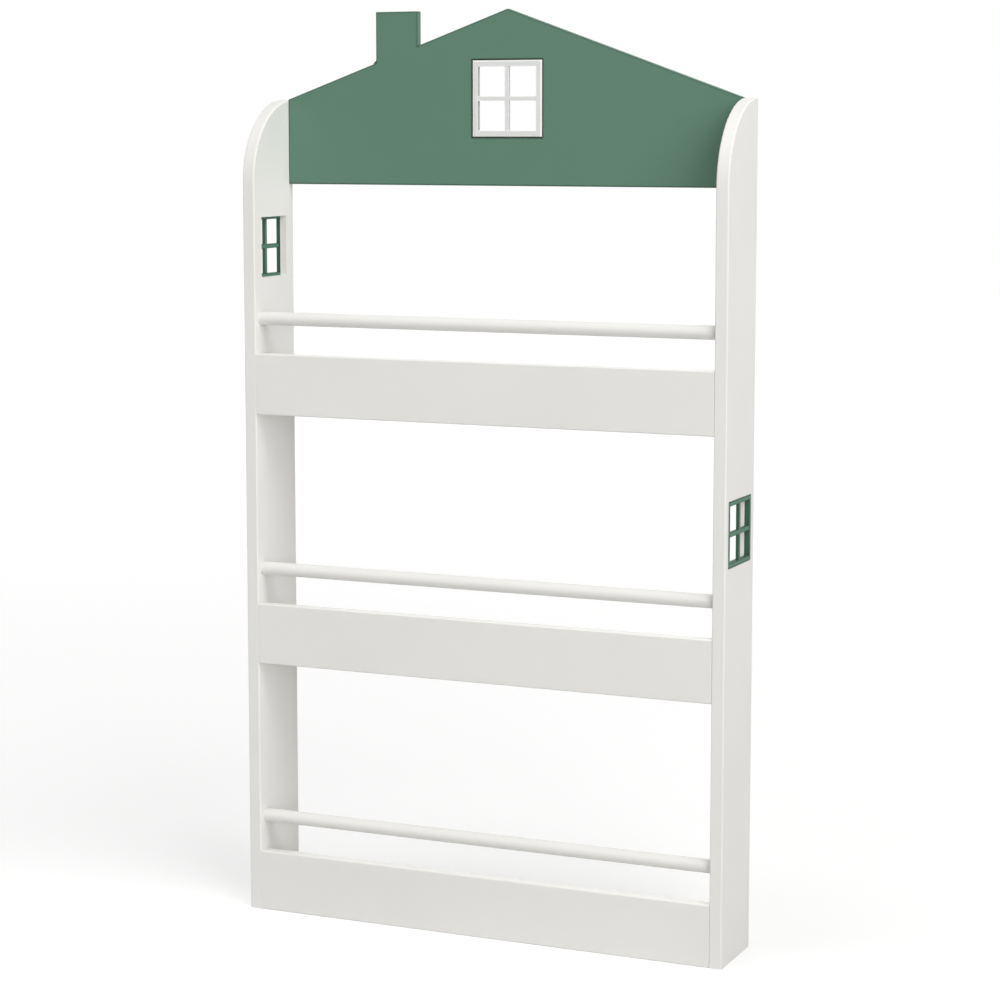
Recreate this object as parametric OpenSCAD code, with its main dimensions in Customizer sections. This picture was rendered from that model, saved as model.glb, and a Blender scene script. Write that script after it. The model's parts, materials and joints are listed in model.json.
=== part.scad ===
// House shaped bookcase for a child's room: two side panels, three tiers of
// shelf, front board and rail, and a gabled roof panel with a chimney.
// Origin: middle of the footprint on the floor. +X right, -Y front, +Z up.

/* [Carcass] */
// Width over the two side panels
overall_w = 600; // [480:1:800]
// Depth from the front edges to the wall
overall_d = 96; // [90:1:150]
// Thickness of side panels, shelves and front boards
board_t = 15; // [15:0.5:22]
// Radius of the large round at the top front of each side panel
top_round_r = 97; // [60:1:120]
// Small rounding of the exposed long edges of the boards
edge_r = 1.5; // [0.5:0.1:2.5]

/* [Tiers] */
// From the lower shelf's underside to the middle shelf's underside
lower_bay_h = 301; // [260:1:380]
// From the middle shelf's underside to the upper shelf's underside
middle_bay_h = 298; // [260:1:380]
// From the upper shelf's underside to the top of the side panels
top_bay_h = 369; // [340:1:450]
// Height of each front board
front_board_h = 72; // [60:1:100]
// Open gap between a front board and the rail above it
rail_gap = 33; // [20:1:60]
// Diameter of each rail
rail_d = 16; // [12:0.5:20]
// Distance of each rail's axis behind the front edges
rail_setback = 15; // [12:0.5:24]
// Depth of the blind socket that holds each rail end
rail_socket = 8; // [6:0.5:10]

/* [Roof panel] */
// Thickness of the roof panel
roof_t = 10; // [9:0.5:15]
// How far the roof panel reaches below the eaves
roof_drop = 100; // [90:1:140]
// Height of the ridge above the eaves
roof_rise = 102; // [70:1:140]
// Width of the chimney
chimney_w = 54; // [36:1:80]
// Distance of the chimney's middle from the ridge line
chimney_offset = 141; // [110:1:165]
// Height of the chimney's top above the eaves
chimney_rise = 102; // [90:1:150]
// Hollow fillet at the foot of the chimney, on the eaves side
chimney_fillet_r = 6; // [2:0.5:12]
// Chamfer on the roof panel's front and back edges
roof_chamfer = 1; // [0.4:0.1:1.5]

/* [Windows] */
// Width of the window in the roof panel
roof_window_w = 87; // [60:1:100]
// Height of the window in the roof panel
roof_window_h = 87.5; // [60:0.5:100]
// Width of the window in each side panel
side_window_w = 77; // [50:1:80]
// Height of the window in each side panel
side_window_h = 75; // [50:1:90]
// Middle of the left window above the upper shelf's underside
left_window_rise = 196; // [185:1:220]
// Middle of the right window above the middle shelf's underside
right_window_rise = 188; // [185:1:215]
// Thickness of a window frame
window_t = 6; // [4:0.5:7]
// Width of the outer bars of the roof panel's window
roof_window_bar = 7; // [5:0.5:10]
// Width of the outer bars of the side panels' windows
side_window_bar = 5.5; // [5:0.5:10]
// Width of a window frame's crossed glazing bars
glazing_bar = 5.2; // [3:0.1:6]
// Depth of the glazing bars from front to back
glazing_t = 3.5; // [2.5:0.5:3.5]
// How far the glazing bars lie behind the front of the frame
glazing_step = 0.3; // [0.2:0.1:0.5]
// Width of the ledge that the roof panel's window rests on, all round
roof_window_ledge = 4; // [2:0.5:4.5]
// Width of the ledge at the left and right of a side panel's window
side_ledge_w = 7.5; // [3:0.5:10]
// Height of the ledge above and below a side panel's window
side_ledge_h = 2; // [1:0.5:4.5]
// Chamfer round the front of a window frame
window_chamfer = 1.2; // [0.5:0.1:1.5]
// How far the roof window stands out of the roof panel
roof_window_proud = 1; // [0:0.5:2]

/* [Fittings] */
// Diameter of the wooden dowels in the shelves and front boards
dowel_d = 8; // [6:0.5:8]
// Length of those dowels
dowel_len = 30; // [28:1:35]
// Diameter of the wooden dowels in the roof panel
roof_dowel_d = 6; // [5:0.5:6]
// Length of those dowels
roof_dowel_len = 24; // [20:1:30]
// Depth of a dowel or bolt in a side panel
panel_bite = 10; // [8:0.5:11]
// Diameter of a cam lock
cam_d = 15; // [12:0.5:16]
// Height of a cam lock
cam_h = 12; // [11.5:0.1:12.5]
// Distance of a cam lock's axis from the board's end
cam_inset = 24; // [24:1:34]
// Distance between the three dowels that join a shelf to its front board
ledge_dowel_pitch = 190; // [120:5:190]
// Distance between the two wall brackets
bracket_pitch = 400; // [200:10:420]
// Length of each leg of a wall bracket
bracket_leg = 25; // [22:1:30]
// Width of a wall bracket
bracket_w = 20; // [16:1:30]
// Thickness of a wall bracket
bracket_t = 2; // [1.5:0.1:3]
// Diameter of the wall screw's hole in a wall bracket
bracket_hole_d = 5; // [4:0.5:6]

/* [Clearances] */
// Clearance round a dowel, cam lock or bolt in its hole
peg_clear = 0.1; // [0.05:0.05:0.2]
// Clearance round a rail in its socket
rail_clear = 0.1; // [0.05:0.05:0.3]
// Space left past the end of a dowel, bolt or rail
end_clear = 0.5; // [0.2:0.1:1]
// Clearance round a side window in its recess
side_window_clear = 0.2; // [0.1:0.1:0.4]
// Shadow gap round the roof window
roof_window_clear = 1.2; // [0.3:0.1:1.5]

/* [Hidden] */
$fn = 64;

WHITE = "#F1F0EC";
GREEN = "#5F8270";
BEECH = "#D8B98A";
ZINC = "#B9BCC0";

inner_w = overall_w - 2 * board_t;
front_y = -overall_d / 2;
wall_y = overall_d / 2;
side_h = lower_bay_h + middle_bay_h + top_bay_h;
upper_z = lower_bay_h + middle_bay_h;
tiers = [upper_z, lower_bay_h, 0];
shelf_d = overall_d - board_t;
shelf_y = front_y + board_t;
rail_rise = front_board_h + rail_gap + rail_d / 2;
rail_len = inner_w + 2 * (rail_socket - end_clear);
roof_front_y = wall_y - roof_t;
roof_mid_y = wall_y - roof_t / 2;
roof_bottom = side_h - roof_drop;
roof_slope = roof_rise / (inner_w / 2);
roof_window_z = side_h;
left_window_z = upper_z + left_window_rise;
right_window_z = lower_bay_h + right_window_rise;
overlap = 1;

// Heights above the shelf's underside at which each front board is joined
board_dowel_margin = 13;
board_dowel_rises = [board_dowel_margin, front_board_h - board_dowel_margin];
board_cam_rise = front_board_h / 2;
// Distances from the shelf's front edge at which each shelf is joined
shelf_dowel_front = 16;
shelf_dowel_rear = 14;
shelf_dowel_steps = [shelf_dowel_front, shelf_d - shelf_dowel_rear];
shelf_cam_step = (shelf_dowel_steps[0] + shelf_dowel_steps[1]) / 2;
// Heights above its lower edge at which the roof panel is joined
roof_dowel_margin = 18;
roof_dowel_rises = [roof_dowel_margin, roof_drop / 2, roof_drop - roof_dowel_margin];
// How far the chimney's blank runs down into the gable
chimney_root = roof_drop / 2;

dowel_bevel = 1;
// Depth in the front board of the dowels that carry a shelf's front edge
ledge_bite = 9;

// Cam bolt: thread, shank, neck and head
bolt_thread_r = 2.5;
bolt_shank_r = 3;
bolt_neck_r = 1.7;
bolt_head_r = 2.9;
bolt_neck_len = 4;
bolt_head_len = 3.4;
bolt_bevel = 0.6;
bolt_bore_clear = 0.5;

// Cam lock: wall round its hollow, the hollow's height, and the cross slot
cam_wall = 2.6;
cam_cavity_h = 6.6;
cam_slot_w = 1.6;
cam_slot_l = 7;
cam_slot_depth = 2.4;
cap_d = cam_d + 3;
cap_t = 0.8;
cap_stub_len = 1.5;

// Bracket screw: shank, domed head and cross slot
screw_d = 3.5;
screw_len = 12;
screw_hole_clear = 0.5;
screw_head_d = 7.6;
screw_top_d = 4.6;
screw_head_h = 2.2;
screw_slot_l = 4;
screw_slot_w = 1;
screw_slot_depth = 1.2;
// Distance of each bracket hole from the outside of the bend
bracket_hole_step = bracket_leg / 2 + bracket_t;
bracket_bend_r = bracket_t + 1;

// ---------- shared shapes ----------

// Draws its children at both ends of the bookcase
module both_ends() {
    children();
    mirror([1, 0, 0]) children();
}

// Rectangle from the origin to [w, h], with a radius of its own at each
// corner: [low left, low right, high right, high left]; 0 is a sharp corner
module eased_rect(w, h, radii) {
    corners = [[0, 0], [w, 0], [w, h], [0, h]];
    inward = [[1, 1], [-1, 1], [-1, -1], [1, -1]];
    difference() {
        square([w, h]);
        for (i = [0:3])
            if (radii[i] > 0)
                translate(corners[i])
                    scale(inward[i])
                        difference() {
                            translate([-overlap, -overlap])
                                square(radii[i] + overlap);
                            translate([radii[i], radii[i]])
                                circle(radii[i]);
                        }
    }
}

// Lays a profile drawn as [y, z] along X, centred on the middle plane
module along_x(len) {
    translate([-len / 2, 0, 0])
        rotate([90, 0, 90])
            linear_extrude(len) children();
}

// Round peg with chamfered ends along X, from x = -back to x = front
module peg(d, back, front, bevel) {
    translate([-back, 0, 0])
        rotate([0, 90, 0]) {
            cylinder(h = bevel, d1 = d - 2 * bevel, d2 = d);
            translate([0, 0, bevel])
                cylinder(h = back + front - 2 * bevel, d = d);
            translate([0, 0, back + front - bevel])
                cylinder(h = bevel, d1 = d, d2 = d - 2 * bevel);
        }
}

// Hole for a round peg along X, from x = -back to x = front
module peg_hole(d, back, front) {
    translate([-back, 0, 0])
        rotate([0, 90, 0])
            cylinder(h = back + front, d = d);
}

// ---------- where things go, on the right half ----------

// Puts its children at the joint of a front board's end with the side panel
module at_board_joints(rises) {
    for (z = tiers)
        for (rise = rises)
            translate([inner_w / 2, front_y + board_t / 2, z + rise])
                children();
}

// Puts its children at the joint of a shelf's end with the side panel
module at_shelf_joints(steps) {
    for (z = tiers)
        for (step = steps)
            translate([inner_w / 2, shelf_y + step, z + board_t / 2])
                children();
}

// Puts its children at the dowels in the roof panel's end
module at_roof_joints() {
    for (rise = roof_dowel_rises)
        translate([inner_w / 2, roof_mid_y, roof_bottom + rise])
            children();
}

// ---------- side panels ----------

// Cross-section of a side panel as [x, y], with eased front edges; the back
// runs on past the wall plane and is trimmed later
module side_section() {
    translate([inner_w / 2, front_y])
        eased_rect(board_t, overall_d + overlap, [edge_r, edge_r, 0, 0]);
}

// The same edges as [distance from the round's axis, x]
module side_turn_section() {
    translate([0, inner_w / 2])
        eased_rect(top_round_r, board_t, [0, edge_r, edge_r, 0]);
}

// Straight stretch up to the round, the round as a quarter turn, and on a
// panel deeper than the round a flat top behind it
module side_blank() {
    round_z = side_h - top_round_r;
    round_y = front_y + top_round_r;
    linear_extrude(round_z) side_section();
    translate([0, round_y, round_z])
        mirror([0, 1, 0])
            rotate([90, 0, 90])
                rotate_extrude(angle = 90) side_turn_section();
    if (overall_d > top_round_r)
        translate([inner_w / 2, round_y, round_z])
            cube([board_t, overall_d - top_round_r, top_round_r]);
}

// Upright block whose rear corners are eased; it trims the blank at the wall
module rear_trim() {
    translate([inner_w / 2, front_y - overlap, -overlap])
        linear_extrude(side_h + 2 * overlap)
            eased_rect(board_t, overall_d + overlap, [0, 0, edge_r, edge_r]);
}

// Opening for a window frame: a recess in the outer face, and a smaller
// hole through the rest, which leaves the ledge that the frame rests on
module side_window_opening(z) {
    recess_w = side_window_w + 2 * side_window_clear;
    recess_h = side_window_h + 2 * side_window_clear;
    hole_w = side_window_w - 2 * side_ledge_w;
    hole_h = side_window_h - 2 * side_ledge_h;
    translate([overall_w / 2 - window_t, -recess_w / 2, z - recess_h / 2])
        cube([window_t + overlap, recess_w, recess_h]);
    translate([inner_w / 2 - overlap, -hole_w / 2, z - hole_h / 2])
        cube([board_t + 2 * overlap, hole_w, hole_h]);
}

// The right-hand panel; the left one is its mirror image with the window
// at another height
module side_panel(window_z) {
    hole_len = panel_bite + end_clear;
    color(WHITE)
        difference() {
            intersection() {
                side_blank();
                rear_trim();
            }
            side_window_opening(window_z);
            at_board_joints(board_dowel_rises)
                peg_hole(dowel_d + 2 * peg_clear, overlap, hole_len);
            at_shelf_joints(shelf_dowel_steps)
                peg_hole(dowel_d + 2 * peg_clear, overlap, hole_len);
            at_roof_joints()
                peg_hole(roof_dowel_d + 2 * peg_clear, overlap, hole_len);
            at_board_joints([board_cam_rise])
                peg_hole(2 * bolt_thread_r, overlap, hole_len);
            at_shelf_joints([shelf_cam_step])
                peg_hole(2 * bolt_thread_r, overlap, hole_len);
            for (z = tiers)
                translate([inner_w / 2, front_y + rail_setback, z + rail_rise])
                    peg_hole(rail_d + 2 * rail_clear, overlap, rail_socket);
        }
}

module right_side_panel() {
    side_panel(right_window_z);
}

module left_side_panel() {
    mirror([1, 0, 0]) side_panel(left_window_z);
}

// ---------- front boards, shelves and rails ----------

// Sunk hole for a cam lock, opening at z = 0 and going down
module cam_hole() {
    translate([0, 0, -cam_h])
        cylinder(h = cam_h + overlap, d = cam_d + 2 * peg_clear);
}

// Turns a cam lock or its hole so that it opens at a front board's back
module at_board_cams(levels) {
    for (z = levels)
        translate([inner_w / 2 - cam_inset, shelf_y, z + board_cam_rise])
            rotate([-90, 0, 0]) children();
}

// Turns a cam lock or its hole so that it opens at a shelf's underside
module at_shelf_cams(levels) {
    for (z = levels)
        translate([inner_w / 2 - cam_inset, shelf_y + shelf_cam_step, z])
            rotate([180, 0, 0]) children();
}

// Puts its children at the dowels between a shelf and its front board,
// turned so that +X runs from the board into the shelf
module at_ledge_joints(levels) {
    for (z = levels)
        for (i = [-1:1])
            translate([i * ledge_dowel_pitch, shelf_y, z + board_t / 2])
                rotate([0, 0, 90]) children();
}

// Bore in a board's end for the bolt that a cam lock pulls on
module bolt_bore() {
    peg_hole(2 * (bolt_shank_r + bolt_bore_clear), cam_inset, overlap);
}

module front_board(level) {
    color(WHITE)
        difference() {
            translate([0, front_y, level])
                along_x(inner_w)
                    eased_rect(board_t, front_board_h, [edge_r, 0, edge_r, edge_r]);
            both_ends() {
                at_board_joints(board_dowel_rises)
                    peg_hole(dowel_d + 2 * peg_clear,
                             dowel_len - panel_bite + end_clear, overlap);
                at_board_joints([board_cam_rise]) bolt_bore();
                at_board_cams([level]) cam_hole();
            }
            at_ledge_joints([level])
                peg_hole(dowel_d + 2 * peg_clear, ledge_bite + end_clear, overlap);
        }
}

// Screw hole for a wall bracket, in the upper shelf only
module bracket_screw_places(level) {
    if (level == upper_z)
        both_ends()
            translate([bracket_pitch / 2, wall_y - bracket_hole_step, level + board_t])
                children();
}

module shelf(level) {
    ledge_len = dowel_len - ledge_bite + end_clear;
    color(WHITE)
        difference() {
            translate([0, shelf_y, level])
                along_x(inner_w)
                    eased_rect(shelf_d, board_t, [0, edge_r, edge_r, 0]);
            both_ends() {
                at_shelf_joints(shelf_dowel_steps)
                    peg_hole(dowel_d + 2 * peg_clear,
                             dowel_len - panel_bite + end_clear, overlap);
                at_shelf_joints([shelf_cam_step]) bolt_bore();
                at_shelf_cams([level]) cam_hole();
            }
            at_ledge_joints([level])
                peg_hole(dowel_d + 2 * peg_clear, overlap, ledge_len);
            bracket_screw_places(level)
                translate([0, 0, bracket_t - screw_len])
                    cylinder(h = screw_len, d = screw_d);
        }
}

module rail(level) {
    color(WHITE)
        translate([0, front_y + rail_setback, level + rail_rise])
            peg(rail_d, rail_len / 2, rail_len / 2, edge_r);
}

module upper_front_board() { front_board(upper_z); }
module middle_front_board() { front_board(lower_bay_h); }
module lower_front_board() { front_board(0); }
module upper_shelf() { shelf(upper_z); }
module middle_shelf() { shelf(lower_bay_h); }
module lower_shelf() { shelf(0); }
module upper_rail() { rail(upper_z); }
module middle_rail() { rail(lower_bay_h); }
module lower_rail() { rail(0); }

// ---------- roof panel ----------

// Outline of the gable as [x, z], drawn in by the same amount all round
function gable_outline(inset) =
    let (half = inner_w / 2 - inset,
         drop = inset * sqrt(1 + roof_slope * roof_slope),
         eaves = side_h - drop + roof_slope * inset,
         ridge = side_h + roof_rise - drop)
    [[-half, roof_bottom + inset], [half, roof_bottom + inset],
     [half, eaves], [0, ridge], [-half, eaves]];

// Outline of the chimney, which runs down into the gable
function chimney_outline(inset) =
    let (half = chimney_w / 2 - inset,
         top = side_h + chimney_rise - inset)
    [[-chimney_offset - half, side_h - chimney_root],
     [-chimney_offset + half, side_h - chimney_root],
     [-chimney_offset + half, top], [-chimney_offset - half, top]];

// Stands an outline drawn as [x, z] up, from y = front to y = back
module upright(front, back) {
    translate([0, back, 0])
        rotate([90, 0, 0])
            linear_extrude(back - front) children();
}

// Flat plate of one convex outline with chamfered front and back edges
module chamfered_plate(full, inset) {
    hull() {
        upright(roof_front_y + roof_chamfer, wall_y - roof_chamfer)
            polygon(full);
        upright(roof_front_y, wall_y) polygon(inset);
    }
}

// Fills the corner between the roof slope and the chimney's outer side
module chimney_foot() {
    lean = atan(roof_slope);
    foot_x = -chimney_offset - chimney_w / 2;
    foot_z = side_h + roof_rise + foot_x * roof_slope;
    reach = chimney_fillet_r * tan((90 + lean) / 2);
    upright(roof_front_y + roof_chamfer, wall_y - roof_chamfer)
        difference() {
            polygon([[foot_x + overlap, foot_z + reach],
                     [foot_x, foot_z + reach],
                     [foot_x - reach * cos(lean), foot_z - reach * sin(lean)],
                     [foot_x + overlap, foot_z - reach * sin(lean)]]);
            translate([foot_x - chimney_fillet_r, foot_z + reach])
                circle(chimney_fillet_r);
        }
}

module roof_window_opening() {
    recess_w = roof_window_w + 2 * roof_window_clear;
    recess_h = roof_window_h + 2 * roof_window_clear;
    hole_w = roof_window_w - 2 * roof_window_ledge;
    hole_h = roof_window_h - 2 * roof_window_ledge;
    depth = window_t - roof_window_proud;
    translate([-recess_w / 2, roof_front_y - overlap, roof_window_z - recess_h / 2])
        cube([recess_w, depth + overlap, recess_h]);
    translate([-hole_w / 2, roof_front_y - overlap, roof_window_z - hole_h / 2])
        cube([hole_w, roof_t + 2 * overlap, hole_h]);
}

module roof_panel() {
    color(GREEN)
        difference() {
            union() {
                chamfered_plate(gable_outline(0), gable_outline(roof_chamfer));
                chamfered_plate(chimney_outline(0), chimney_outline(roof_chamfer));
                chimney_foot();
            }
            roof_window_opening();
            both_ends()
                at_roof_joints()
                    peg_hole(roof_dowel_d + 2 * peg_clear,
                             roof_dowel_len - panel_bite + end_clear, overlap);
        }
}

// ---------- window frames ----------

// Window frame centred on the origin, front face at z = window_t
module window_frame(w, h, bar) {
    pane_w = w - 2 * bar;
    pane_h = h - 2 * bar;
    glazing_z = window_t - glazing_step - glazing_t;
    difference() {
        hull() {
            translate([-w / 2, -h / 2, 0])
                cube([w, h, window_t - window_chamfer]);
            translate([window_chamfer - w / 2, window_chamfer - h / 2, 0])
                cube([w - 2 * window_chamfer, h - 2 * window_chamfer, window_t]);
        }
        translate([-pane_w / 2, -pane_h / 2, -overlap])
            cube([pane_w, pane_h, window_t + 2 * overlap]);
    }
    translate([-glazing_bar / 2, -pane_h / 2 - overlap, glazing_z])
        cube([glazing_bar, pane_h + 2 * overlap, glazing_t]);
    translate([-pane_w / 2 - overlap, -glazing_bar / 2, glazing_z])
        cube([pane_w + 2 * overlap, glazing_bar, glazing_t]);
}

module roof_window() {
    color(WHITE)
        translate([0, roof_front_y - roof_window_proud + window_t, roof_window_z])
            rotate([90, 0, 0])
                window_frame(roof_window_w, roof_window_h, roof_window_bar);
}

module side_window(z) {
    color(GREEN)
        translate([overall_w / 2 - window_t, 0, z])
            rotate([90, 0, 90])
                window_frame(side_window_w, side_window_h, side_window_bar);
}

module right_window() { side_window(right_window_z); }
module left_window() { mirror([1, 0, 0]) side_window(left_window_z); }

// ---------- hidden fittings ----------

module board_dowels() {
    color(BEECH)
        both_ends()
            at_board_joints(board_dowel_rises)
                peg(dowel_d, dowel_len - panel_bite, panel_bite, dowel_bevel);
}

module shelf_dowels() {
    color(BEECH)
        both_ends()
            at_shelf_joints(shelf_dowel_steps)
                peg(dowel_d, dowel_len - panel_bite, panel_bite, dowel_bevel);
}

module ledge_dowels() {
    color(BEECH)
        at_ledge_joints(tiers)
            peg(dowel_d, ledge_bite, dowel_len - ledge_bite, dowel_bevel);
}

module roof_dowels() {
    color(BEECH)
        both_ends()
            at_roof_joints()
                peg(roof_dowel_d, roof_dowel_len - panel_bite, panel_bite,
                    dowel_bevel);
}

// Cam lock with its slotted face at z = 0: a hollow drum that takes the
// bolt's head through a slot on the +X side
module cam_lock() {
    bolt_z = -board_t / 2;
    mouth_w = 2 * (bolt_neck_r + peg_clear);
    color(ZINC)
        difference() {
            translate([0, 0, end_clear - cam_h])
                cylinder(h = cam_h - end_clear, d = cam_d);
            translate([0, 0, bolt_z - cam_cavity_h / 2])
                cylinder(h = cam_cavity_h, r = cam_d / 2 - cam_wall);
            translate([0, -mouth_w / 2, bolt_z - cam_cavity_h / 2])
                cube([cam_d, mouth_w, cam_cavity_h]);
            for (turn = [45, 135])
                rotate([0, 0, turn])
                    translate([-cam_slot_l / 2, -cam_slot_w / 2, -cam_slot_depth])
                        cube([cam_slot_l, cam_slot_w, cam_slot_depth + overlap]);
        }
}

module board_cams() {
    both_ends() at_board_cams(tiers) cam_lock();
}

module shelf_cams() {
    both_ends() at_shelf_cams(tiers) cam_lock();
}

// Bolt along X: thread in the side panel, shank through the board's end,
// then a neck and a head inside the cam lock
module cam_bolt() {
    neck_x = -cam_inset + bolt_head_len;
    shank_x = neck_x + bolt_neck_len;
    color(ZINC) {
        peg(2 * bolt_thread_r, 0, panel_bite, bolt_bevel);
        peg_hole(2 * bolt_shank_r, -shank_x, 0);
        peg_hole(2 * bolt_neck_r, -neck_x, shank_x);
        peg(2 * bolt_head_r, cam_inset, neck_x, bolt_bevel);
    }
}

module board_cam_bolts() {
    both_ends() at_board_joints([board_cam_rise]) cam_bolt();
}

module shelf_cam_bolts() {
    both_ends() at_shelf_joints([shelf_cam_step]) cam_bolt();
}

// Thin cap that hides a cam lock, with a stub in the cam's cross slot
module cam_cap() {
    color(WHITE) {
        cylinder(h = cap_t, d1 = cap_d, d2 = cap_d - cap_t);
        translate([0, 0, -cap_stub_len])
            cylinder(h = cap_stub_len, d = cam_slot_w - 2 * peg_clear);
    }
}

module board_cam_caps() {
    both_ends() at_board_cams(tiers) cam_cap();
}

// The lower shelf lies on the floor and has no caps
module shelf_cam_caps() {
    both_ends() at_shelf_cams([upper_z, lower_bay_h]) cam_cap();
}

// Angle bracket that holds the bookcase to the wall: one leg lies on the
// shelf, the other stands against the wall at y = bracket_leg
module wall_bracket() {
    inner_leg = bracket_leg - bracket_t;
    color(ZINC)
        difference() {
            along_x(bracket_w)
                difference() {
                    eased_rect(bracket_leg, bracket_leg, [0, bracket_bend_r, 0, 0]);
                    translate([-overlap, bracket_t])
                        eased_rect(inner_leg + overlap, bracket_leg,
                                   [0, bracket_bend_r - bracket_t, 0, 0]);
                }
            translate([0, bracket_leg - bracket_hole_step, -overlap])
                cylinder(h = bracket_t + 2 * overlap,
                         d = screw_d + 2 * screw_hole_clear);
            translate([0, bracket_leg + overlap, bracket_hole_step])
                rotate([90, 0, 0])
                    cylinder(h = bracket_t + 2 * overlap, d = bracket_hole_d);
        }
}

module wall_brackets() {
    both_ends()
        translate([bracket_pitch / 2, wall_y - bracket_leg, upper_z + board_t])
            wall_bracket();
}

// Screw with a cross slot, its head on the bracket's lower leg
module bracket_screw() {
    color(ZINC)
        difference() {
            union() {
                translate([0, 0, bracket_t + end_clear - screw_len])
                    cylinder(h = screw_len, d = screw_d);
                translate([0, 0, bracket_t])
                    cylinder(h = screw_head_h, d1 = screw_head_d, d2 = screw_top_d);
            }
            for (turn = [0, 90])
                rotate([0, 0, turn])
                    translate([-screw_slot_l / 2, -screw_slot_w / 2,
                               bracket_t + screw_head_h - screw_slot_depth])
                        cube([screw_slot_l, screw_slot_w, screw_slot_depth + overlap]);
        }
}

module bracket_screws() {
    bracket_screw_places(upper_z) bracket_screw();
}

left_side_panel();
right_side_panel();
roof_panel();
roof_window();
left_window();
right_window();
upper_front_board();
middle_front_board();
lower_front_board();
upper_shelf();
middle_shelf();
lower_shelf();
upper_rail();
middle_rail();
lower_rail();
board_dowels();
shelf_dowels();
ledge_dowels();
roof_dowels();
board_cams();
shelf_cams();
board_cam_bolts();
shelf_cam_bolts();
board_cam_caps();
shelf_cam_caps();
wall_brackets();
bracket_screws();
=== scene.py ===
import json
import math
import bmesh
import bpy
from mathutils import Matrix, Vector


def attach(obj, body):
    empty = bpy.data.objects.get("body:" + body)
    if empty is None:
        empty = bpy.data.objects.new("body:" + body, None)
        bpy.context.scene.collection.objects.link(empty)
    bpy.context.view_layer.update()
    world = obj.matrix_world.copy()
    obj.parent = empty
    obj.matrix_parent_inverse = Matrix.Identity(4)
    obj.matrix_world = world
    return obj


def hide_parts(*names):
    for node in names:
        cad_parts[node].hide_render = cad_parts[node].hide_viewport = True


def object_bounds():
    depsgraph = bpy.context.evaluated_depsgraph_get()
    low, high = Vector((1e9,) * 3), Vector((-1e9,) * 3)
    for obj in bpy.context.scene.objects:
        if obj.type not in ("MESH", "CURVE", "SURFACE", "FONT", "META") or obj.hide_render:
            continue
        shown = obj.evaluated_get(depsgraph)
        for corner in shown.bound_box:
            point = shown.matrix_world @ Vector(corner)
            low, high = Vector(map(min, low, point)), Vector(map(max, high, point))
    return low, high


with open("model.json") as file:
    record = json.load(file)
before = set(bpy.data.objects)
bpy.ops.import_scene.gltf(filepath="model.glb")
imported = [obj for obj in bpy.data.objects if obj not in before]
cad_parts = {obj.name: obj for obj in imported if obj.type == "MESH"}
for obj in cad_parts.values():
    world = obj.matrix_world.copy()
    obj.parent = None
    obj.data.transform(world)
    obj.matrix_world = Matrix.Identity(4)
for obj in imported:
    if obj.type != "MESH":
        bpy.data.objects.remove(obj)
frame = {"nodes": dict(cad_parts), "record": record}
cad_low, cad_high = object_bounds()

# ---------- sizes and places, in metres and degrees ----------

# Camera: place, turn to the left, tilt down, and lens
CAMERA_AT = (1.258, -2.810, 0.934)
CAMERA_TURN = 23.98
CAMERA_TILT = 6.93
CAMERA_LENS_MM = 96.75
CAMERA_SENSOR_MM = 36.0
CAMERA_SHIFT_Y = -0.045

# Colours, linear
WHITE_PAINT = (0.838, 0.825, 0.799)
GREEN_PAINT = (0.111, 0.217, 0.156)
WHITE_PLASTIC = (0.77, 0.765, 0.75)
GREEN_PLASTIC = (0.075, 0.184, 0.124)
BEECH = (0.60, 0.39, 0.20)
ZINC = (0.62, 0.63, 0.65)
FLOOR_COLOUR = (0.62, 0.62, 0.615)

# Noise lies mostly between these values
NOISE_LOW = 0.3
NOISE_HIGH = 0.7

# Chimney: the share of the CAD's fillet that stays at its foot, how far round the foot's
# corner that fillet lies, and how much lower the chimney's top is
FILLET_SHARE = 0.5
FILLET_REACH = 0.012
CHIMNEY_DROP = 0.001

# Fluted dowel
DOWEL_FLUTES = 20
POINTS_PER_FLUTE = 4
FLUTE_DEPTH = 0.0003
DOWEL_CHAMFER = 0.001

# Cam bolt, from its head to its threaded end
BOLT_HEAD_LEN = 0.0034
BOLT_HEAD_R = 0.0029
BOLT_NECK_LEN = 0.004
BOLT_NECK_R = 0.0017
BOLT_SHANK_R = 0.003
BOLT_THREAD_LEN = 0.010
BOLT_THREAD_R = 0.0025
BOLT_ROOT_R = 0.0019
BOLT_TIP_R = 0.00125
BOLT_PITCH = 0.002
BOLT_EASE = 0.0004

# Bracket screw, from its tip to its head; the crown is the head's top above its rim
SCREW_TIP_R = 0.00015
SCREW_TIP_LEN = 0.0025
SCREW_ROOT_R = 0.0014
SCREW_SHANK_R = 0.00175
SCREW_PITCH = 0.0013
SCREW_NECK_LEN = 0.001
SCREW_HEAD_R = 0.0038
SCREW_HEAD_H = 0.0022
SCREW_RIM_H = 0.0006
SCREW_CROWN_ARC = 72
SCREW_SLOT_L = 0.0042
SCREW_SLOT_W = 0.0010
SCREW_SLOT_DEPTH = 0.0013

# Cam cap, and the stub below it
CAP_R = 0.009
CAP_T = 0.0008
CAP_DISH_R = 0.00225
CAP_DISH_DEPTH = 0.00035
CAP_STUB_R = 0.0007
CAP_STUB_TIP_R = 0.00042
CAP_STUB_TIP_LEN = 0.0002

# Points round a turned piece
METAL_POINTS = 24
CAP_POINTS = 48

# Floor, and the glow that lifts it to white for the camera, less so near the object
FLOOR_SIZE = 24.0
GLOW_NEAR_AT = 0.8
GLOW_FAR_AT = 5.0
GLOW_NEAR = 0.46
GLOW_FAR = 0.68

# World: colour, strength of its soft light, and of the white that shows behind the object
WORLD_COLOUR = (1, 1, 1)
WORLD_LIGHT = 0.08
WORLD_WHITE = 1.0


# ---------- helpers ----------

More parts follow.
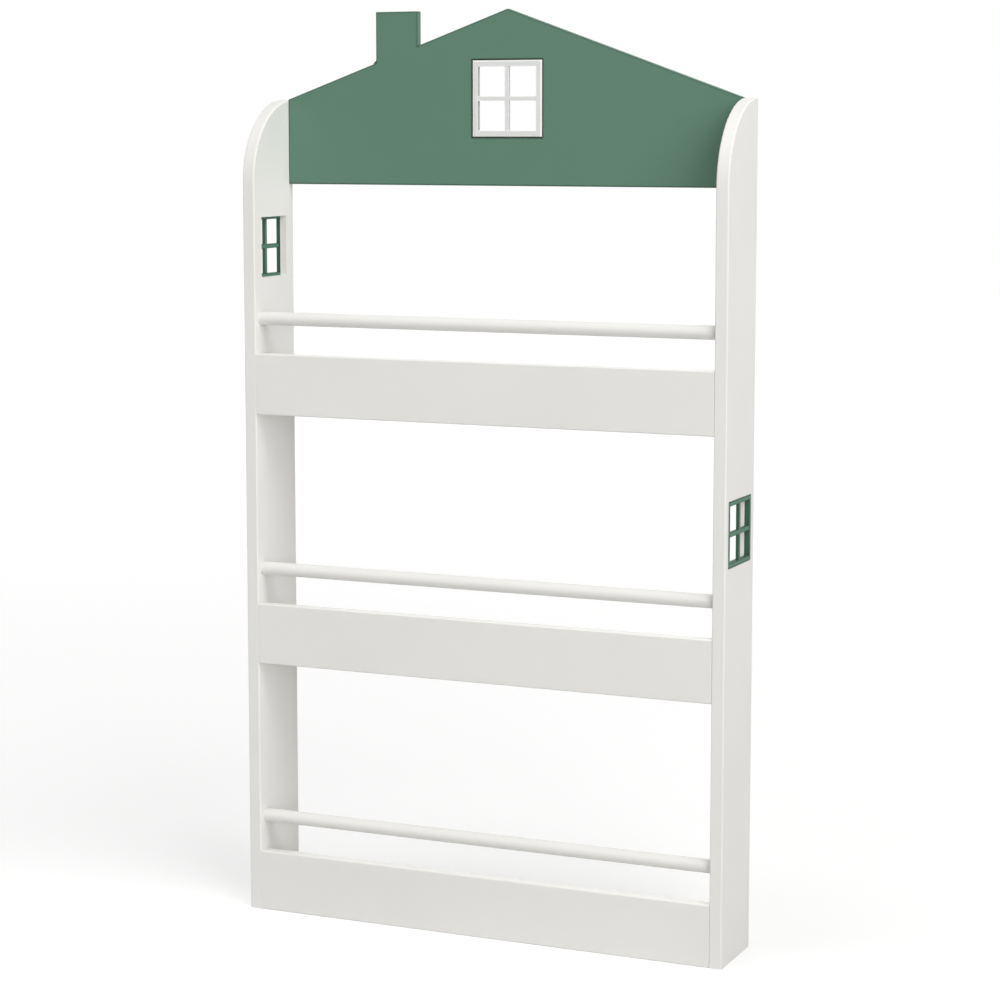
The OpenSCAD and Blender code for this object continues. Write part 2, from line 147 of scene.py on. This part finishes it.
def add(tree, kind, inputs=None, **settings):
    """Adds a node, sets its properties, and sets or links its inputs."""
    made = tree.nodes.new(kind)
    for name, value in settings.items():
        setattr(made, name, value)
    for socket, value in (inputs or {}).items():
        fill(tree, made.inputs[socket], value)
    return made


def fill(tree, socket, value):
    """Links an output to the socket, or sets the socket to a value."""
    if isinstance(value, bpy.types.NodeSocket):
        tree.links.new(value, socket)
    else:
        socket.default_value = value


def show(name, data):
    """Puts the data into the scene as a new object of that name."""
    made = bpy.data.objects.new(name, data)
    bpy.context.scene.collection.objects.link(made)
    return made


def opaque(colour, scale=1.0):
    """A linear colour, scaled, with full alpha."""
    return tuple(scale * c for c in colour) + (1.0,)


def new_material(name):
    """A material with its Principled shader: (material, tree, shader)."""
    material = bpy.data.materials.new(name)
    material.use_nodes = True
    tree = material.node_tree
    return material, tree, tree.nodes["Principled BSDF"]


def noise(tree, place, scale, detail, roughness=0.5, stretch=(1, 1, 1)):
    """Noise in the row frame's metres, drawn out along an axis whose stretch is under 1."""
    mapped = add(tree, "ShaderNodeMapping", {"Vector": place, "Scale": stretch})
    made = add(tree, "ShaderNodeTexNoise", {
        "Vector": mapped.outputs["Vector"], "Scale": scale,
        "Detail": detail, "Roughness": roughness})
    return made.outputs["Fac"]


def remap(tree, value, low, high, to_low, to_high):
    """Maps low to to_low and high to to_high, and stops there."""
    made = add(tree, "ShaderNodeMapRange", {
        "Value": value, "From Min": low, "From Max": high,
        "To Min": to_low, "To Max": to_high})
    return made.outputs["Result"]


def spread(tree, pattern, to_low, to_high):
    """Spreads a noise over that range."""
    return remap(tree, pattern, NOISE_LOW, NOISE_HIGH, to_low, to_high)


def mix_colour(tree, factor, a, b):
    """Colour a where the factor is 0, and b where it is 1."""
    made = add(tree, "ShaderNodeMix", data_type="RGBA")
    sockets = [s for s in made.inputs if s.enabled]
    for socket, value in zip(sockets, (factor, a, b)):
        fill(tree, socket, value)
    return next(s for s in made.outputs if s.enabled)


def clouded(tree, pattern, colour, low, high):
    """The colour, scaled from low to high by a noise."""
    tone = spread(tree, pattern, 0.0, 1.0)
    return mix_colour(tree, tone, opaque(colour, low), opaque(colour, high))


def bump(tree, height, distance, normal=None):
    """The normal of a surface with that relief, which is distance deep."""
    inputs = {"Height": height, "Distance": distance, "Strength": 1.0}
    if normal is not None:
        inputs["Normal"] = normal
    return add(tree, "ShaderNodeBump", inputs).outputs["Normal"]


def rounded(tree, radius, samples):
    """The normal of a surface whose edges are rounded with that radius."""
    return add(tree, "ShaderNodeBevel", {"Radius": radius}, samples=samples).outputs["Normal"]


def edge_mask(tree, radius, turn):
    """1 on an edge and 0 from the radius inwards; turn is how far its normal tips there."""
    soft = rounded(tree, radius, samples=8)
    own = add(tree, "ShaderNodeNewGeometry").outputs["Normal"]
    along = add(tree, "ShaderNodeVectorMath", {0: soft, 1: own}, operation="DOT_PRODUCT")
    return remap(tree, along.outputs["Value"], 1.0, math.cos(math.radians(turn)), 0.0, 1.0)


def sideways(tree, facing):
    """1 on the faces that look square to that direction, 0 on those that look along it.

    It changes where the cosine between the two lies from 0.3 to 0.6.
    """
    true = add(tree, "ShaderNodeNewGeometry").outputs["True Normal"]
    along = add(tree, "ShaderNodeVectorMath", {0: true, 1: facing}, operation="DOT_PRODUCT")
    apart = add(tree, "ShaderNodeMath", {0: along.outputs["Value"]}, operation="ABSOLUTE")
    return remap(tree, apart.outputs["Value"], 0.6, 0.3, 0.0, 1.0)


# ---------- materials ----------

def painted_board(name, colour, painted_edge_shading, edge_reach=0.0012, grain=None):
    """Satin sprayed paint on smooth board.

    Along the edges, edge_reach wide, the colour is scaled by the edge factor: over 1 it paints
    a highlight on the edges, under 1 a dark outline of painted shade. Paint on turned wood
    also shows the grain, which is the stretch of its fibres' noise.
    """
    material, tree, shader = new_material(name)
    place = add(tree, "ShaderNodeTexCoord").outputs["Object"]
    cloud = noise(tree, place, scale=7.0, detail=3.0)
    flat = clouded(tree, cloud, colour, 0.985, 1.015)
    edge = edge_mask(tree, edge_reach, turn=14)
    stipple = noise(tree, place, scale=420.0, detail=3.0, roughness=0.55)
    soft_edge = rounded(tree, radius=0.0005, samples=4)
    skin = bump(tree, stipple, distance=0.00003, normal=soft_edge)
    if grain is not None:
        fibre = noise(tree, place, scale=260.0, detail=3.0, roughness=0.6, stretch=grain)
        skin = bump(tree, fibre, distance=0.00004, normal=skin)
    # Painted highlight along the edges where the edge factor is over 1, painted shade where it is
    # under 1
    fill(tree, shader.inputs["Base Color"],
         mix_colour(tree, edge, flat, opaque(colour, painted_edge_shading)))
    fill(tree, shader.inputs["Roughness"], spread(tree, stipple, 0.44, 0.52))
    fill(tree, shader.inputs["Normal"], skin)
    shader.inputs["Specular IOR Level"].default_value = 0.3
    return material


def moulded_plastic(name, colour, painted_edge_shading, specular, facing=None, painted_side_shade=1.0):
    """Fine-grained plastic, its edges lightened by a painted highlight or darkened by painted
    shade.

    With facing, the direction its front looks, its other sides take painted shade by the side
    factor.
    """
    material, tree, shader = new_material(name)
    place = add(tree, "ShaderNodeTexCoord").outputs["Object"]
    cloud = noise(tree, place, scale=25.0, detail=2.0)
    flat = clouded(tree, cloud, colour, 0.97, 1.03)
    if facing is not None:
        # Painted shade on the sides that do not look along the front's direction
        flat = mix_colour(tree, sideways(tree, facing), flat, opaque(colour, painted_side_shade))
    edge = edge_mask(tree, radius=0.0014, turn=12)
    grain = noise(tree, place, scale=1600.0, detail=2.0)
    soft_edge = rounded(tree, radius=0.0003, samples=4)
    # Painted highlight along the edges where the edge factor is over 1, painted shade where it is
    # under 1
    fill(tree, shader.inputs["Base Color"],
         mix_colour(tree, edge, flat, opaque(colour, painted_edge_shading)))
    fill(tree, shader.inputs["Roughness"], spread(tree, grain, 0.48, 0.56))
    fill(tree, shader.inputs["Normal"],
         bump(tree, grain, distance=0.00001, normal=soft_edge))
    shader.inputs["Specular IOR Level"].default_value = specular
    return material


def metal(name, colour):
    """Zinc plate: a fine mottle, brushed along X."""
    material, tree, shader = new_material(name)
    place = add(tree, "ShaderNodeTexCoord").outputs["Object"]
    mottle = noise(tree, place, scale=300.0, detail=3.0)
    brushed = noise(tree, place, scale=2200.0, detail=3.0, roughness=0.6,
                    stretch=(0.05, 1, 1))
    fill(tree, shader.inputs["Base Color"], clouded(tree, mottle, colour, 0.9, 1.1))
    fill(tree, shader.inputs["Roughness"], spread(tree, brushed, 0.28, 0.44))
    fill(tree, shader.inputs["Normal"], bump(tree, brushed, distance=0.00001))
    shader.inputs["Metallic"].default_value = 1.0
    return material


def bare_wood(name, colour):
    """Unfinished wood with its grain along X."""
    material, tree, shader = new_material(name)
    place = add(tree, "ShaderNodeTexCoord").outputs["Object"]
    grain = noise(tree, place, scale=900.0, detail=4.0, roughness=0.6, stretch=(0.08, 1, 1))
    fill(tree, shader.inputs["Base Color"], clouded(tree, grain, colour, 0.85, 1.08))
    fill(tree, shader.inputs["Roughness"], spread(tree, grain, 0.55, 0.70))
    fill(tree, shader.inputs["Normal"], bump(tree, grain, distance=0.00002))
    return material


# Edges over 1 get a painted highlight, under 1 painted shade; green plastic sides get painted
# shade
SLOTS = {
    "white_board": painted_board("white_board", WHITE_PAINT, painted_edge_shading=1.08),
    "green_board": painted_board("green_board", GREEN_PAINT, painted_edge_shading=0.42,
                                 edge_reach=0.0022),
    "white_rail": painted_board("white_rail", WHITE_PAINT, painted_edge_shading=1.0,
                                grain=(0.04, 1, 1)),
    "white_plastic": moulded_plastic("white_plastic", WHITE_PLASTIC, painted_edge_shading=1.25,
                                     specular=0.35),
    "green_plastic": moulded_plastic("green_plastic", GREEN_PLASTIC, painted_edge_shading=0.42,
                                     specular=0.22, facing=(1, 0, 0), painted_side_shade=0.6),
    "beech": bare_wood("beech", BEECH),
    "zinc": metal("zinc", ZINC),
}

# The roof window looks along Y; painted shade makes its bars' sides darker than their fronts, and
# its rims take a painted highlight
ROOF_WINDOW = moulded_plastic("white_window", WHITE_PLASTIC, painted_edge_shading=1.25,
                              specular=0.35, facing=(0, 1, 0), painted_side_shade=0.6)

SLOT_OF = {part["node"]: part["material_slot"] for part in frame["record"]["subparts"]}


def paint(mesh, node):
    """Gives the mesh the material of that CAD node's slot, or the roof window its own."""
    mesh.materials.clear()
    mesh.materials.append(ROOF_WINDOW if node == "roof_window" else SLOTS[SLOT_OF[node]])


for node_name in SLOT_OF:
    paint(frame["nodes"][node_name].data, node_name)


# ---------- pieces that stand for CAD nodes ----------

def stand_for(node, name, mesh):
    """Shows the mesh as a piece of that name in the place of the CAD node."""
    mesh.name = name
    paint(mesh, node)
    piece = show(name, mesh)
    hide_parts(node)
    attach(piece, "root")


def as_mesh(shape, name):
    """Turns the shape into a mesh of that name."""
    mesh = bpy.data.meshes.new(name)
    shape.to_mesh(mesh)
    shape.free()
    return mesh


def finish_piece(shape, name, node, sharp=30):
    """Makes the shape a piece for that CAD node, smooth but for edges sharper than that."""
    bmesh.ops.recalc_face_normals(shape, faces=shape.faces)
    mesh = as_mesh(shape, name)
    mesh.polygons.foreach_set("use_smooth", [True] * len(mesh.polygons))
    mesh.set_sharp_from_angle(angle=math.radians(sharp))
    stand_for(node, name, mesh)


# ---------- roof panel ----------

def make_roof_panel():
    """The CAD panel with a tighter fillet at the chimney's foot and a slightly lower chimney."""
    hair = 0.0001
    mesh = frame["nodes"]["roof_panel"].data.copy()
    points = [vert.co for vert in mesh.vertices]

    # The ridge and the chimney are equally high, and the slope meets the chimney's side at foot_z
    half_w = max(point.x for point in points)
    ridge_z = max(point.z for point in points)
    eaves_z = max(point.z for point in points if point.x > half_w - hair)
    side_x = min(point.x for point in points if point.z > ridge_z - hair)
    foot_z = ridge_z + side_x * (ridge_z - eaves_z) / half_w

    for point in points:
        beside = side_x - FILLET_REACH < point.x < side_x + hair
        if beside and abs(point.z - foot_z) < FILLET_REACH:
            point.x = side_x + FILLET_SHARE * (point.x - side_x)
            point.z = foot_z + FILLET_SHARE * (point.z - foot_z)
        elif point.x < side_x / 2 and point.z > ridge_z - 2 * CHIMNEY_DROP:
            point.z -= CHIMNEY_DROP
    stand_for("roof_panel", "roof_panel_trimmed", mesh)


# ---------- small fittings, each modelled where its plain CAD solid is ----------

def solids(node):
    """The boxes of a CAD node's separate solids: [(lowest corner, highest corner), ...]."""
    shape = bmesh.new()
    shape.from_mesh(frame["nodes"][node].data)
    bmesh.ops.remove_doubles(shape, verts=shape.verts, dist=0.00001)
    unseen = set(shape.verts)
    boxes = []
    while unseen:
        to_search = [unseen.pop()]
        found = list(to_search)
        while to_search:
            vert = to_search.pop()
            for edge in vert.link_edges:
                other = edge.other_vert(vert)
                if other in unseen:
                    unseen.remove(other)
                    found.append(other)
                    to_search.append(other)
        boxes.append((Vector([min(v.co[i] for v in found) for i in range(3)]),
                      Vector([max(v.co[i] for v in found) for i in range(3)])))
    shape.free()
    return sorted(boxes, key=lambda box: tuple(round(c, 5) for c in box[0]))


def skin_rings(shape, rings, place):
    """Joins rings of points, drawn about +Z, into one closed skin at that place."""
    rows = [[shape.verts.new(place @ Vector(point)) for point in ring] for ring in rings]
    count = len(rings[0])
    for low, high in zip(rows, rows[1:]):
        for i in range(count):
            j = (i + 1) % count
            shape.faces.new((low[i], low[j], high[j], high[i]))
    shape.faces.new(list(reversed(rows[0])))
    shape.faces.new(rows[-1])


def ring(radius, z, count):
    """A round ring; radius is a number or a function of the angle."""
    points = []
    for i in range(count):
        angle = 2 * math.pi * i / count
        r = radius(angle) if callable(radius) else radius
        points.append((r * math.cos(angle), r * math.sin(angle), z))
    return points


def lathe(profile, count):
    """Rings of a turned shape; the profile is [(radius, z), ...] upwards."""
    return [ring(radius, z, count) for radius, z in profile]


def arc_steps(arc, count=4):
    """The angles that lead in equal steps to the end of the arc, in radians."""
    return [math.radians(arc * (k + 1) / count) for k in range(count)]


def thread(root_r, crest_r, start, length, pitch, steps=8):
    """Rings of a right-hand thread that runs out at both ends, with that many steps a turn."""
    turns = length / pitch
    last = round(turns * steps)
    rings = []
    for k in range(last + 1):
        share = k / last
        height = min(1.0, share * turns, (1 - share) * turns)

        def radius(angle, share=share, height=height):
            phase = (share * turns - angle / (2 * math.pi)) % 1.0
            return root_r + (crest_r - root_r) * height * (1 - abs(2 * phase - 1))

        rings.append(ring(radius, start + share * length, METAL_POINTS))
    return rings


def lay_along(low, high, towards):
    """Turns +Z to that direction, with z = 0 at the end of the box that it leads from."""
    reach = abs((high - low).dot(towards)) / 2
    turn = towards.to_track_quat("Z", "Y").to_matrix().to_4x4()
    return Matrix.Translation((low + high) / 2 - towards * reach) @ turn


def make_dowels(node):
    """Fluted dowels with chamfered ends, along each solid's longest side."""
    count = DOWEL_FLUTES * POINTS_PER_FLUTE
    shape = bmesh.new()
    for low, high in solids(node):
        size = high - low
        long_axis = max(range(3), key=lambda i: size[i])
        length = size[long_axis]
        towards = Vector([float(i == long_axis) for i in range(3)])
        full_r = min(size) / 2
        end_r = full_r - DOWEL_CHAMFER

        def fluted(angle, full_r=full_r):
            return full_r - FLUTE_DEPTH * (0.5 - 0.5 * math.cos(angle * DOWEL_FLUTES))

        rings = [ring(end_r, 0, count), ring(fluted, DOWEL_CHAMFER, count),
                 ring(fluted, length - DOWEL_CHAMFER, count), ring(end_r, length, count)]
        skin_rings(shape, rings, lay_along(low, high, towards))
    finish_piece(shape, node + "_fluted", node, sharp=50)


def make_cam_bolts(node):
    """Bolts with a threaded end in the side panel and a head in the cam lock."""
    shape = bmesh.new()
    for low, high in solids(node):
        outwards = Vector((math.copysign(1, low.x + high.x), 0, 0))
        length = high.x - low.x
        neck_end = BOLT_HEAD_LEN + BOLT_NECK_LEN
        shank_end = length - BOLT_THREAD_LEN
        rings = lathe([(BOLT_HEAD_R - BOLT_EASE, 0), (BOLT_HEAD_R, BOLT_EASE),
                       (BOLT_HEAD_R, BOLT_HEAD_LEN - BOLT_EASE),
                       (BOLT_HEAD_R - BOLT_EASE, BOLT_HEAD_LEN),
                       (BOLT_NECK_R, BOLT_HEAD_LEN), (BOLT_NECK_R, neck_end),
                       (BOLT_SHANK_R - BOLT_EASE, neck_end),
                       (BOLT_SHANK_R, neck_end + BOLT_EASE),
                       (BOLT_SHANK_R, shank_end)], METAL_POINTS)
        rings += thread(BOLT_ROOT_R, BOLT_THREAD_R, shank_end,
                        BOLT_THREAD_LEN - BOLT_EASE, BOLT_PITCH)
        rings += lathe([(BOLT_TIP_R, length)], METAL_POINTS)
        skin_rings(shape, rings, lay_along(low, high, outwards))
    finish_piece(shape, node + "_threaded", node)


def make_cam_caps(node, outwards):
    """Thin round caps with a rolled rim, a shallow dish and a stub."""
    shape = bmesh.new()
    for low, high in solids(node):
        depth = abs((high - low).dot(outwards))
        back = depth - CAP_T
        dish = depth - CAP_DISH_DEPTH
        profile = [(CAP_STUB_TIP_R, 0), (CAP_STUB_R, CAP_STUB_TIP_LEN), (CAP_STUB_R, back),
                   (CAP_R, back)]
        profile += [(CAP_R - CAP_T + CAP_T * math.cos(turn), back + CAP_T * math.sin(turn))
                    for turn in arc_steps(90)]
        profile += [(CAP_R - 2 * CAP_T, dish), (CAP_DISH_R, dish)]
        skin_rings(shape, lathe(profile, CAP_POINTS), lay_along(low, high, outwards))
    finish_piece(shape, node + "_dished", node)


def screw_rings(length):
    """Rings of a pan-head screw with a sharp threaded end, that long in all."""
    seat = length - SCREW_HEAD_H
    rim = seat + SCREW_RIM_H
    crown = (length - rim) / math.sin(math.radians(SCREW_CROWN_ARC))
    head = [(SCREW_SHANK_R, seat), (SCREW_HEAD_R, seat), (SCREW_HEAD_R, rim)]
    head += [(SCREW_HEAD_R * math.cos(turn), rim + crown * math.sin(turn))
             for turn in arc_steps(SCREW_CROWN_ARC)]
    rings = lathe([(SCREW_TIP_R, 0), (SCREW_ROOT_R, SCREW_TIP_LEN)], METAL_POINTS)
    rings += thread(SCREW_ROOT_R, SCREW_SHANK_R, SCREW_TIP_LEN,
                    seat - SCREW_TIP_LEN - SCREW_NECK_LEN, SCREW_PITCH)
    return rings + lathe(head, METAL_POINTS)


def make_bracket_screws(node):
    """Pan-head screws with a cross recess, their heads on top."""
    body = bmesh.new()
    cross = bmesh.new()
    for low, high in solids(node):
        place = lay_along(low, high, Vector((0, 0, 1)))
        skin_rings(body, screw_rings(high.z - low.z), place)
        top = Matrix.Translation(((low.x + high.x) / 2, (low.y + high.y) / 2, high.z))
        for size in ((SCREW_SLOT_L, SCREW_SLOT_W), (SCREW_SLOT_W, SCREW_SLOT_L)):
            block = Matrix.Diagonal((*size, 2 * SCREW_SLOT_DEPTH, 1))
            bmesh.ops.create_cube(cross, size=1, matrix=top @ block)
    bmesh.ops.recalc_face_normals(body, faces=body.faces)
    screws = cut_away(as_mesh(body, "screw_body"), as_mesh(cross, "screw_cross"))
    finish_piece(screws, node + "_cross_head", node)


def cut_away(body, tool):
    """The body's mesh less the tool's, as a new shape."""
    whole = show("whole", body)
    taken = show("taken", tool)
    modifier = whole.modifiers.new("cut", "BOOLEAN")
    modifier.object = taken
    modifier.operation = "DIFFERENCE"
    modifier.solver = "EXACT"
    modifier.use_self = True
    bpy.context.view_layer.update()
    shape = bmesh.new()
    shape.from_mesh(whole.evaluated_get(bpy.context.evaluated_depsgraph_get()).data)
    for thing in (whole, taken):
        bpy.data.objects.remove(thing)
    return shape


make_roof_panel()
for dowel_node in ("board_dowels", "shelf_dowels", "ledge_dowels", "roof_dowels"):
    make_dowels(dowel_node)
for bolt_node in ("board_cam_bolts", "shelf_cam_bolts"):
    make_cam_bolts(bolt_node)
make_cam_caps("board_cam_caps", Vector((0, 1, 0)))
make_cam_caps("shelf_cam_caps", Vector((0, 0, -1)))
make_bracket_screws("bracket_screws")


# ---------- floor, light and camera ----------

def seen_directly(tree):
    """1 for the rays that show the background: camera, glossy and transmission."""
    rays = add(tree, "ShaderNodeLightPath").outputs
    glossy = add(tree, "ShaderNodeMath", {0: rays["Is Camera Ray"], 1: rays["Is Glossy Ray"]},
                 operation="MAXIMUM")
    shown = add(tree, "ShaderNodeMath",
                {0: glossy.outputs["Value"], 1: rays["Is Transmission Ray"]},
                operation="MAXIMUM")
    return shown.outputs["Value"]


def floor_material():
    """Matt and pale, with a glow that only the camera and reflections see."""
    material, tree, shader = new_material("studio_floor")
    tree.nodes.remove(shader)
    matt = add(tree, "ShaderNodeBsdfDiffuse", {"Color": opaque(FLOOR_COLOUR)})
    place = add(tree, "ShaderNodeTexCoord").outputs["Object"]
    away = add(tree, "ShaderNodeVectorMath", {0: place}, operation="LENGTH").outputs["Value"]
    by_distance = remap(tree, away, GLOW_NEAR_AT, GLOW_FAR_AT, GLOW_NEAR, GLOW_FAR)
    lift = add(tree, "ShaderNodeMath", {0: seen_directly(tree), 1: by_distance},
               operation="MULTIPLY")
    glow = add(tree, "ShaderNodeEmission", {"Strength": lift.outputs["Value"]})
    both = add(tree, "ShaderNodeAddShader",
               {0: matt.outputs["BSDF"], 1: glow.outputs["Emission"]})
    fill(tree, tree.nodes["Material Output"].inputs["Surface"], both.outputs["Shader"])
    return material


def make_floor():
    """A flat square at z = 0."""
    half = FLOOR_SIZE / 2
    corners = [(-half, -half, 0), (half, -half, 0), (half, half, 0), (-half, half, 0)]
    mesh = bpy.data.meshes.new("studio_floor")
    mesh.from_pydata(corners, [], [(0, 1, 2, 3)])
    mesh.materials.append(floor_material())
    floor = show("studio_floor", mesh)


def make_world():
    """Soft light from all round, and plain white where the background is seen."""
    world = bpy.data.worlds.new("studio")
    world.use_nodes = True
    tree = world.node_tree
    tree.nodes.clear()
    colour = opaque(WORLD_COLOUR)
    soft = add(tree, "ShaderNodeBackground", {"Color": colour, "Strength": WORLD_LIGHT})
    white = add(tree, "ShaderNodeBackground", {"Color": colour, "Strength": WORLD_WHITE})
    shown = add(tree, "ShaderNodeMixShader", {
        0: seen_directly(tree), 1: soft.outputs["Background"], 2: white.outputs["Background"]})
    add(tree, "ShaderNodeOutputWorld", {"Surface": shown.outputs["Shader"]})
    bpy.context.scene.world = world


def hang_lamp(name, lamp, azimuth, elevation, distance):
    """Hangs a lamp that faces the object's middle; azimuth 0 is the front, 90 the right."""
    a, e = math.radians(azimuth), math.radians(elevation)
    towards = Vector((math.sin(a) * math.cos(e), -math.cos(a) * math.cos(e), math.sin(e)))
    holder = show(name, lamp)
    holder.location = (Vector(cad_low) + Vector(cad_high)) / 2 + towards * distance
    holder.rotation_euler = towards.to_track_quat("Z", "Y").to_euler()
    holder.visible_camera = False
    return holder


def sun(name, azimuth, elevation, strength, spread_angle, distance=5.0):
    """A soft fill, unseen in gloss; a surface that faces it shows strength times its colour."""
    lamp = bpy.data.lights.new(name, "SUN")
    lamp.energy = strength * math.pi
    lamp.angle = math.radians(spread_angle)
    hang_lamp(name, lamp, azimuth, elevation, distance).visible_glossy = False


def soft_box(name, azimuth, elevation, strength, distance, size):
    """A square lamp near by; strength is as for sun(), at the object's middle."""
    lamp = bpy.data.lights.new(name, "AREA")
    lamp.size = size
    lamp.energy = strength * (math.pi * distance) ** 2
    hang_lamp(name, lamp, azimuth, elevation, distance)


def make_camera():
    """The camera at the photograph's viewing angle."""
    lens = bpy.data.cameras.new("photo_camera")
    lens.lens = CAMERA_LENS_MM
    lens.sensor_width = CAMERA_SENSOR_MM
    lens.shift_y = CAMERA_SHIFT_Y
    camera = show("photo_camera", lens)
    camera.location = CAMERA_AT
    camera.rotation_euler = (math.radians(90 - CAMERA_TILT), 0, math.radians(CAMERA_TURN))
    bpy.context.scene.camera = camera


make_floor()
make_world()
soft_box("key", azimuth=60, elevation=45, strength=0.575, distance=5.0, size=3.4)
sun("low_front", azimuth=43, elevation=8, strength=0.45, spread_angle=40)
sun("top", azimuth=-45, elevation=60, strength=0.35, spread_angle=50)
sun("low_back", azimuth=-145, elevation=5, strength=0.88, spread_angle=50)
make_camera()
bpy.context.scene.view_settings.view_transform = "Standard"
